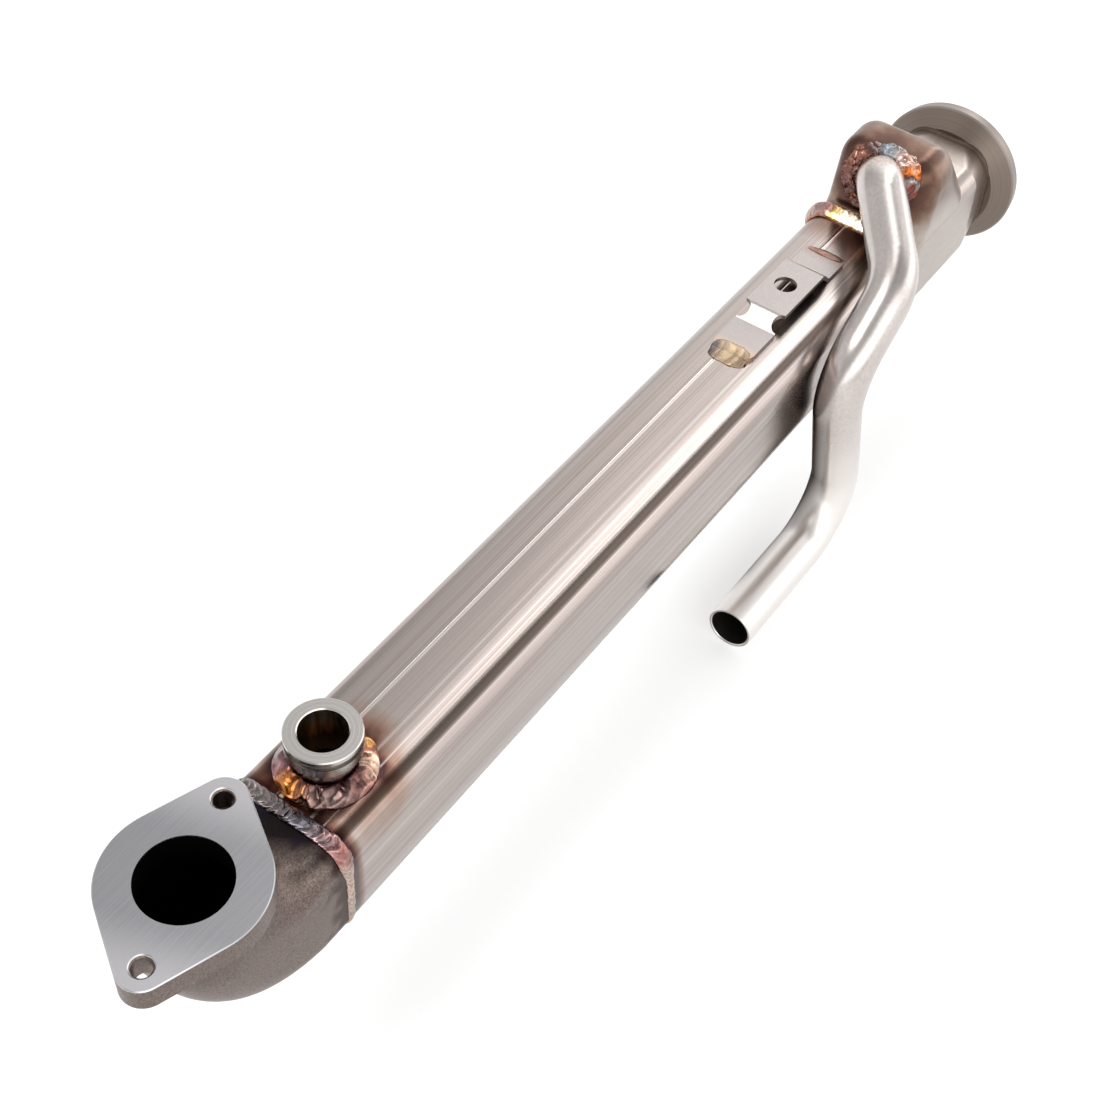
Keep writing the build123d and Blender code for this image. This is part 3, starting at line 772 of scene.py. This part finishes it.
def bead(name, node, length, place, look, closed=True, rows=20, step=0.28):
    """Weld bead that replaces a CAD bead.

    place(walk, across) gives a point on the joint in mm, the way out of the metal and the
    bead's thickness there; look(walk, across) gives the ripple height and the colour. Walk is
    the length along the joint in mm, and across goes from -1 to 1.
    """
    bm = bmesh.new()
    columns, all_rows = int(length / step), rows + BACK_ROWS
    bmesh.ops.create_grid(bm, x_segments=columns, y_segments=all_rows, size=0.5)
    colours = bm.verts.layers.float_color.new("oxide")
    for vert in bm.verts:
        walk = (vert.co.x + 0.5) * length
        row = (vert.co.y + 0.5) * all_rows
        on_face = row <= rows
        across = 2 * row / rows - 1 if on_face else 1 - 2 * (row - rows) / BACK_ROWS
        point, out, thick = place(walk, across)
        height, colour = look(walk, across)
        to_end = min(walk, length - walk)
        # An open bead grows flat over the last sixth of its length at both ends.
        ends = 1.0 if closed else min(1.0, 6 * to_end / length) ** 0.5
        dome = max(1 - across * across, 0.0) ** 0.6
        face_lift = (thick * dome + height * dome**0.5) * ends
        vert.co = (point + out * (face_lift if on_face else -BACK_DEPTH * dome * ends)) * MM
        vert[colours] = colour
    # The grid's first and last rows meet, and those of a closed bead's columns too.
    bmesh.ops.remove_doubles(bm, verts=bm.verts, dist=0.02 * MM)
    bmesh.ops.recalc_face_normals(bm, faces=bm.faces)
    mesh = bpy.data.meshes.new(name)
    bm.to_mesh(mesh)
    bm.free()
    mesh.shade_smooth()
    piece = bpy.data.objects.new(name, mesh)
    bpy.context.scene.collection.objects.link(piece)
    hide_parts(node)
    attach(piece, "root")
    print(name, "faces:", len(mesh.polygons))
    return piece


# %% [markdown]
# ## Beads at the casing's ends
#
# Both end beads run all the way round the casing. A helper turns a length along the joint into
# a point on the casing's outline: it walks one flat and one corner, and turns the result by
# 90 degrees for each side passed. Along the top, where the welder could reach best, both beads
# are wider and heavier.

# %% Outline of the casing
CASING_ROUND = 8 * CASING_FLAT + 2 * math.pi * CASING_CORNER


def casing_drop(y):
    """Depth in mm of the casing's top surface at y below its highest line."""
    over = abs(y) - CASING_FLAT
    corner = CASING_CORNER - math.sqrt(max(CASING_CORNER**2 - over**2, 0.0)) if over > 0 else 0.0
    return CASING_BOW * (y / CASING_HALF) ** 2 + corner


def turned_over(vector, heading):
    """A vector of the top's section, turned to the side of the casing at a heading."""
    cos, sin = math.cos(heading), math.sin(heading)
    return Vector((0, -(vector.x * cos + vector.y * sin), vector.y * cos - vector.x * sin))


def round_casing(walk):
    """Point and outward direction on the casing's outline, from the middle of its top."""
    side = 2 * CASING_FLAT + math.pi / 2 * CASING_CORNER
    sides_passed, rest = divmod(walk + CASING_FLAT, side)
    if rest <= 2 * CASING_FLAT:
        point, angle = Vector((rest - CASING_FLAT, CASING_HALF)), 0.0
    else:
        angle = (rest - 2 * CASING_FLAT) / CASING_CORNER
        corner = Vector((CASING_CORNER * math.sin(angle), CASING_CORNER * math.cos(angle)))
        point = Vector((CASING_FLAT, CASING_FLAT)) + corner
    bow = CASING_BOW * min(abs(point.x), CASING_FLAT) ** 2 / CASING_HALF**2
    out = Vector((math.sin(angle), math.cos(angle)))
    heading = sides_passed * math.pi / 2
    axis = Vector((0, 0, axis_z / MM))
    return axis + turned_over(point - out * bow, heading), turned_over(out, heading)


def near_top(walk, reach, fade):
    """1 round the middle of the casing's top, and 0 from reach mm along the joint on."""
    from_top = min(walk, CASING_ROUND - walk)
    return min(max((reach - from_top) / fade, 0.0), 1.0)


# %% Bead at the elbow
FRONT_OXIDE = (
    (0.0, "#807678"),
    (0.03, "#77737c"),
    (0.07, "#968488"),
    (0.105, "#b98f8c"),
    (0.13, "#a06c66"),
    (0.155, "#b5938a"),
    (0.20, "#cbb3a4"),
    (0.30, "#c6afa2"),
    (0.45, "#a39388"),
    (0.85, "#958a83"),
    (0.93, "#857b7a"),
    (1.0, "#807678"),
)


def front_place(walk, across):
    """The bead sits a little towards the elbow where it is wide."""
    point, out = round_casing(walk)
    uneven = 0.35 * wave(walk, 0.25, 3.0)
    wide = near_top(walk, 38.0, 10.0)
    point.x = front_weld_x / MM - 0.9 * wide + across * (1.9 + 1.6 * wide + uneven)
    return point - out * 0.1, out, 0.5 + 0.5 * wide


def front_look(walk, across):
    """Silver crescents with pink and purple at the upper corners."""
    height = ripple(walk, across, 3.0, 1.3, 1.0)
    lump = lumps(walk, 0.3, across, 0.9, 5.0)
    colour = oxide(FRONT_OXIDE, walk / CASING_ROUND + 0.02 * lump)
    return 0.3 * height + 0.5 * lump, shaded(colour, (0.6 + 0.4 * height) * (0.95 + 0.5 * lump))


front_bead = bead(
    "front_weld_bead",
    "weld_outlet_header",
    CASING_ROUND,
    front_place,
    front_look,
)

# %% Bead at the header
REAR_OXIDE = (
    (0.0, "#fff5d6"),
    (0.08, "#fff0c4"),
    (0.12, "#c98a4a"),
    (0.16, "#a37a70"),
    (0.4, "#a99a8c"),
    (0.84, "#a08c82"),
    (0.885, "#c4a8a2"),
    (0.91, "#ab7f74"),
    (0.925, "#f3c070"),
    (0.95, "#fff5d6"),
    (1.0, "#fff5d6"),
)
RUST = linear("#a8683c")


def rear_place(walk, across):
    """Along the top this bead is a fillet that climbs from the casing to the hood's wall."""
    point, out = round_casing(walk)
    uneven = 0.3 * wave(walk, 0.3, 8.0)
    wide = near_top(walk, 36.0, 6.0)
    rise = 1.8 * wide * (across + 1)
    point.x = rear_weld_x / MM - 2.0 * wide + across * (3.2 + 0.6 * wide + uneven)
    return point + out * (rise - 0.1), out, 1.1 + 0.2 * wide


def rear_look(walk, across):
    """Bright gold face with brown edges."""
    height = ripple(walk, across, 2.4, 0.6, 2.0)
    lump = lumps(walk, 0.4, across, 1.0, 9.0)
    colour = oxide(REAR_OXIDE, walk / CASING_ROUND + 0.008 * lump)
    edge = max(abs(across) + 0.25 * lump - 0.75, 0.0) / 0.25
    share = min(edge * 0.9 + max(0.4 - height, 0) * 0.4, 1.0)
    return 0.12 * height + 0.3 * lump, shaded(mixed(colour, RUST, share), 1.05 + 0.3 * lump)


rear_bead = bead(
    "rear_weld_bead",
    "weld_inlet_header",
    CASING_ROUND,
    rear_place,
    rear_look,
)

# %% [markdown]
# ## Ring at the spigot
#
# The spigot sits in a thick ring of weld, laid on in a few large blobs. It is the same strip
# again, this time bent into a cone from the casing's top up to the spigot's neck. Its outer
# edge follows the casing's top, which falls away towards the corner.

# %% Spigot ring
# Radii of the ring's upper and lower edge, and height of the upper one, in mm.
SPIGOT_NECK = 11.3
SPIGOT_TOE = 18.2
SPIGOT_HEAD = 5.0
SPIGOT_ROUND = 2 * math.pi * (SPIGOT_NECK + SPIGOT_TOE) / 2
BURNT = linear("#4a2c30")
SPIGOT_OXIDE = (
    (0.0, "#dc9244"),
    (0.05, "#edbb6c"),
    (0.10, "#bd7250"),
    (0.16, "#e6c2ac"),
    (0.22, "#a67a70"),
    (0.30, "#7a5e5a"),
    (0.38, "#85706a"),
    (0.46, "#96766a"),
    (0.52, "#d9853c"),
    (0.57, "#cf8452"),
    (0.62, "#ab8286"),
    (0.70, "#8a7472"),
    (0.85, "#8a6250"),
    (0.94, "#d19a56"),
    (1.0, "#dc9244"),
)


def spigot_place(walk, across):
    """The ring starts at the far end of the casing and runs round by its -Y side."""
    angle = -walk / SPIGOT_ROUND * 2 * math.pi
    reach = SPIGOT_TOE + 0.8 * wave(walk, 0.12, 2.0, 1.0)
    share = (across + 1) / 2
    radius = reach + (SPIGOT_NECK - reach) * share
    out = Vector((math.cos(angle), math.sin(angle), 0))
    y = spigot_y / MM + out.y * radius
    toe = casing_top_z / MM - casing_drop(y)
    head = casing_top_z / MM + SPIGOT_HEAD
    point = Vector((spigot_x / MM + out.x * radius, y, toe + (head - toe) * share**1.3))
    normal = (out * SPIGOT_HEAD + Vector((0, 0, SPIGOT_TOE - SPIGOT_NECK))).normalized()
    return point, normal, 1.2


def spigot_look(walk, across):
    """Copper and silver blobs, burnt dark against the spigot's neck."""
    height = ripple(walk, across, 6.0, -0.5, 4.0)
    lump = lumps(walk, 0.22, across, 0.9, 7.0)
    fine = lumps(walk, 0.6, across, 1.8, 17.0)
    colour = oxide(SPIGOT_OXIDE, walk / SPIGOT_ROUND + 0.03 * lump + 0.01 * fine)
    shade = (0.6 + 0.4 * height) * (1.0 + 0.5 * fine + 0.6 * lump)
    share = min(max(across + 0.3 * lump, 0.0) * 0.9, 0.8)
    lift = 0.35 * height + 1.6 * lump + 0.12 * fine
    return lift, shaded(mixed(colour, BURNT, share), shade)


spigot_bead = bead(
    "spigot_weld_ring",
    "weld_spigot",
    SPIGOT_ROUND,
    spigot_place,
    spigot_look,
    rows=28,
    step=0.25,
)

# %% [markdown]
# ## Beads at the bracket's feet
#
# Each foot is held by one short weld over the end of the sheet: a drop of metal that lies on
# the casing in front of the foot and laps over its edge. Both come from one function, which
# is told how far the drop reaches off the bracket and how far over it.

# %% Foot beads
# Width of a foot, and height of the sheet's top above the casing, in mm.
FOOT_WIDTH = 17.0
SHEET_TOP = 1.9
bracket_y = (bracket_low.y + bracket_high.y) / 2 / MM


def foot_bead(name, node, foot_x, outward, stops, reach, lap, seed):
    """Bead over one end of the bracket, reaching off it and lapping over it in mm."""

    def place(walk, across):
        share = (across + 1) / 2
        bulge = math.sqrt(max(1 - (2 * walk / FOOT_WIDTH - 1) ** 2, 0.0)) ** 0.7
        uneven = 0.6 * wave(walk, 0.3, seed)
        off = (0.3 + 0.7 * bulge) * (reach + uneven)
        over = (0.3 + 0.7 * bulge) * (lap + uneven)
        climb = min(1.0, share * (off + over) / off)
        y = bracket_y + FOOT_WIDTH / 2 - walk
        drop = casing_drop(y)
        z = casing_top_z / MM - drop + (SHEET_TOP + drop) * climb**1.2
        normal = Vector((outward * 0.35 * (1 - climb), 0, 1)).normalized()
        return Vector((foot_x + outward * (off - (off + over) * share), y, z)), normal, 0.5

    def look(walk, across):
        height = ripple(walk, across, 5.2, 0.7, seed)
        lump = lumps(walk, 0.2, across, 0.7, seed)
        colour = oxide(stops, walk / FOOT_WIDTH + 0.05 * lump)
        shade = (0.75 + 0.25 * height) * (1.0 + 0.3 * lump)
        return 0.12 * height + 0.7 * lump, shaded(colour, shade)

    return bead(name, node, FOOT_WIDTH, place, look, closed=False, step=0.25)


# %% Both feet
STRAW_OXIDE = (
    (0.0, "#7a706c"),
    (0.12, "#857a76"),
    (0.20, "#b8a38e"),
    (0.6, "#c2ab8c"),
    (1.0, "#a48e7a"),
)
BROWN_OXIDE = ((0.0, "#b49a8c"), (0.3, "#a3796c"), (0.6, "#b09084"), (1.0, "#6e5048"))
front_foot = foot_bead(
    "bracket_front_weld",
    "weld_bracket_front",
    foot_x=bracket_low.x / MM,
    outward=-1,
    stops=STRAW_OXIDE,
    reach=5.5,
    lap=6.5,
    seed=11.0,
)
rear_foot = foot_bead(
    "bracket_rear_weld",
    "weld_bracket_rear",
    foot_x=bracket_high.x / MM,
    outward=1,
    stops=BROWN_OXIDE,
    reach=3.6,
    lap=2.6,
    seed=12.0,
)

# %% [markdown]
# ## Weld round the tube
#
# Here the joint winds over the hood's curves, so a flat strip would not follow it. The CAD
# bead is copied and rebuilt from small even faces instead, and its points are pushed in and
# out by ripples that run round the tube.

# %% Copy of the bead with even faces
# Size of the new faces in mm.
EVEN_FACE = 0.28

bm = bmesh.new()
bm.from_mesh(nodes["weld_tube"].data)
bmesh.ops.remove_doubles(bm, verts=bm.verts, dist=0.001 * MM)
bmesh.ops.recalc_face_normals(bm, faces=bm.faces)
mesh = bpy.data.meshes.new("tube_weld_ring")
bm.to_mesh(mesh)
bm.free()
tube_ring = bpy.data.objects.new("tube_weld_ring", mesh)
bpy.context.scene.collection.objects.link(tube_ring)
remesh = tube_ring.modifiers.new("even_faces", "REMESH")
remesh.mode = "VOXEL"
remesh.voxel_size = EVEN_FACE * MM
bpy.context.view_layer.update()
evaluated = tube_ring.evaluated_get(bpy.context.evaluated_depsgraph_get())
even = bpy.data.meshes.new_from_object(evaluated)
tube_ring.modifiers.clear()
tube_ring.data = even
even.name = "tube_weld_ring"
print("tube weld faces:", len(even.polygons))

# %% Directions round the tube
# The tube leaves the hood at this tilt and turn. The angle round it is 0 at its top and grows
# towards the -Y side.
TUBE_TILT, TUBE_TURN = math.radians(38.0), math.radians(19.0)
ring_centre = tube_joint / MM
level_way = math.cos(TUBE_TILT)
tube_axis = Vector(
    (-level_way * math.cos(TUBE_TURN), -level_way * math.sin(TUBE_TURN), math.sin(TUBE_TILT))
)
ring_right = Vector((0, 0, 1)).cross(tube_axis).normalized()
ring_up = tube_axis.cross(ring_right).normalized()
print("tube weld centre in mm:", [round(part, 1) for part in ring_centre])

# %% Ripples and colours of the tube's weld
# Radius of the bead's middle, half its width and the length walked for a radian, in mm.
RING_MIDDLE = 13.5
RING_HALF = 4
RING_WALK = 14
TUBE_OXIDE = (
    (0.0, "#7d8a92"),
    (0.04, "#8f8784"),
    (0.09, "#cbaba4"),
    (0.14, "#c79a86"),
    (0.175, "#d9772c"),
    (0.205, "#4a3034"),
    (0.235, "#a7a19c"),
    (0.26, "#8a3c30"),
    (0.29, "#6b5c54"),
    (0.33, "#b9ab98"),
    (0.40, "#8a7c70"),
    (0.50, "#7a6462"),
    (0.70, "#86645f"),
    (0.80, "#966a60"),
    (0.87, "#ac7866"),
    (0.92, "#80625e"),
    (0.97, "#747074"),
    (1.0, "#7d8a92"),
)

bm = bmesh.new()
bm.from_mesh(even)
colours = bm.verts.layers.float_color.new("oxide")
bm.normal_update()
moves = []
for vert in bm.verts:
    spoke = vert.co / MM - ring_centre
    right, up = spoke.dot(ring_right), spoke.dot(ring_up)
    angle = math.atan2(right, up)
    across = (math.hypot(right, up) - RING_MIDDLE) / RING_HALF
    height = ripple(angle * RING_WALK, across, 4.5, 0.4, 6.0)
    lump = noise.noise(spoke * 0.22)
    fine = noise.noise(spoke * 0.55)
    share = (angle / (2 * math.pi)) % 1.0
    colour = oxide(TUBE_OXIDE, (share + 0.05 * lump) % 1.0)
    heavy = 1.3 * math.cos(angle - math.radians(60)) - 0.6
    push = 0.3 * height + heavy + 1.3 * lump + 0.25 * fine
    moves.append((vert, vert.normal * push * MM))
    vert[colours] = shaded(colour, (0.6 + 0.4 * height) * (1 + 0.6 * fine))
for vert, move in moves:
    vert.co += move
bm.to_mesh(even)
bm.free()
even.shade_smooth()
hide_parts("weld_tube")
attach(tube_ring, "root")
print("points pushed:", len(moves))

# %% [markdown]
# ## Dressing
#
# Now every piece gets its finish. The heavy beads are glossy, as a clean weld is. The two at
# the bracket's feet carry a thin scale and are duller. The CAD beads that the new ones replace
# are dressed too, so that no piece is ever left bare.

# %% Dress every piece
for piece in (front_bead, rear_bead, spigot_bead, tube_ring):
    piece.data.materials.append(weld_material)
for piece in (front_foot, rear_foot):
    piece.data.materials.append(scaled_weld)

dress = {
    "outlet_header": cast_elbow(),
    "casing": drawn_stainless(),
    "coolant_spigot": turned_spigot(),
    "inlet_header": pressed_header(),
    "inlet_vband_ring": turned_ring(),
    "coolant_tube": satin_tube(),
    "mounting_bracket": bracket_sheet(),
}
core = brazed_core()
for name, item in nodes.items():
    item.data.materials.clear()
    item.data.materials.append(weld_material if name.startswith("weld_") else dress.get(name, core))
print("materials:", len(bpy.data.materials))

# %% [markdown]
# ## Floor
#
# The cooler lies over a pale table. Bare metal mirrors that table strongly, so its brightness
# matters twice. Part of it is the table's own glow, which keeps the ground near white while
# the light that the table throws up stays as soft as in the picture.

# %% Floor
floor_z = cad_box[0][2] - 1 * MM
bm = bmesh.new()
bmesh.ops.create_grid(bm, x_segments=1, y_segments=1, size=6.0)
bmesh.ops.translate(bm, verts=bm.verts, vec=(0, 0, floor_z))
floor_mesh = bpy.data.meshes.new("floor")
bm.to_mesh(floor_mesh)
bm.free()
floor = bpy.data.objects.new("floor", floor_mesh)
bpy.context.scene.collection.objects.link(floor)
material, tree = new_material("pale_floor")
own_glow = [("Emission Color", "#ffffff"), ("Emission Strength", 0.5)]
surface = add(tree, "BsdfPrincipled", [("Base Color", "#bcbcbc"), ("Roughness", 0.9)] + own_glow)
add(tree, "OutputMaterial", [("Surface", surface.outputs["BSDF"])])
floor_mesh.materials.append(material)
print("floor height in mm:", round(floor_z / MM, 1))

# %% [markdown]
# ## Studio
#
# Bare metal shows what stands around it. The cooler was lit by long soft boxes that run along
# it: one throws the bright line on the casing's shoulder, the gap beside it gives the dark line
# on the corner, and a smaller box over the near end lights the slopes that face it. The world's
# background draws that studio from the direction alone: an angle round the casing's axis picks
# the brightness from a ramp, one ramp for the far end and one for the near end.

# %% Ramps of brightness
# A ramp holds values up to 1, so brightness is kept in it as a share of this value.
BRIGHTEST = 4.0


def grey_ramp(tree, angle, *stops):
    """Brightness through (degrees, brightness) stops, by an angle in radians."""
    node = add(tree, "ValToRGB", [("Fac", level(tree, angle, -math.pi, math.pi))])
    elements = node.color_ramp.elements
    while len(elements) < len(stops):
        elements.new(0.5)
    for index, (degrees, brightness) in enumerate(stops):
        elements[index].position = (degrees + 180) / 360
        elements[index].color = [brightness / BRIGHTEST] * 3 + [1]
    return sums(tree, "MULTIPLY", node.outputs["Color"], BRIGHTEST)


# %% Soft boxes by angle
# The angle is 0 straight up, and positive towards the casing's +Y side. The small box is given
# by its direction.
OVERHEAD = (
    (-42, 0.8),
    (-14, 0.8),
    (-8, 0.35),
    (1, 0.35),
    (4, 3.4),
    (16, 3.4),
    (19, 1.2),
    (35, 1.08),
    (90, 0.8),
)
SIDE = ((-150, 0.9), (-95, 0.9), (-80, 0.8), (-70, 1.35), (-50, 1.35), (-43, 0.0))
BEHIND = (
    (-100, 0.8),
    (-82, 0.8),
    (-72, 2.6),
    (-42, 2.6),
    (-33, 0.8),
    (-25, 0.6),
    (40, 0.62),
    (60, 0.95),
)
SMALL_BOX = (-0.42, 0.32, 0.85)

# %% Studio round the cooler
world = bpy.data.worlds.new("studio")
world.use_nodes = True
tree = world.node_tree
tree.nodes.clear()
direction = add(tree, "TexCoord").outputs["Generated"]
x, y, z = split(tree, direction)
angle = sums(tree, "ARCTAN2", y, z)
towards_end = level(tree, x, 0.42, 0.74, 0.7, 1.55)
overhead = sums(tree, "MULTIPLY", grey_ramp(tree, angle, *OVERHEAD), towards_end)
ahead = sums(tree, "ADD", overhead, grey_ramp(tree, angle, *SIDE))
share = level(tree, x, -0.25, 0.2)
ahead = sums(tree, "MULTIPLY", ahead, share)
behind = grey_ramp(tree, angle, *BEHIND)
behind = sums(tree, "MULTIPLY", behind, sums(tree, "SUBTRACT", 1.0, share))
small_box = level(tree, along(tree, direction, SMALL_BOX), 0.955, 0.975, 0.0, 4.6)
brightness = sums(tree, "ADD", sums(tree, "ADD", ahead, behind), small_box)
background = add(tree, "Background", [("Color", "#ffffff"), ("Strength", brightness)])
add(tree, "OutputWorld", [("Surface", background.outputs["Background"])])
bpy.context.scene.world = world
print("studio nodes:", len(tree.nodes))
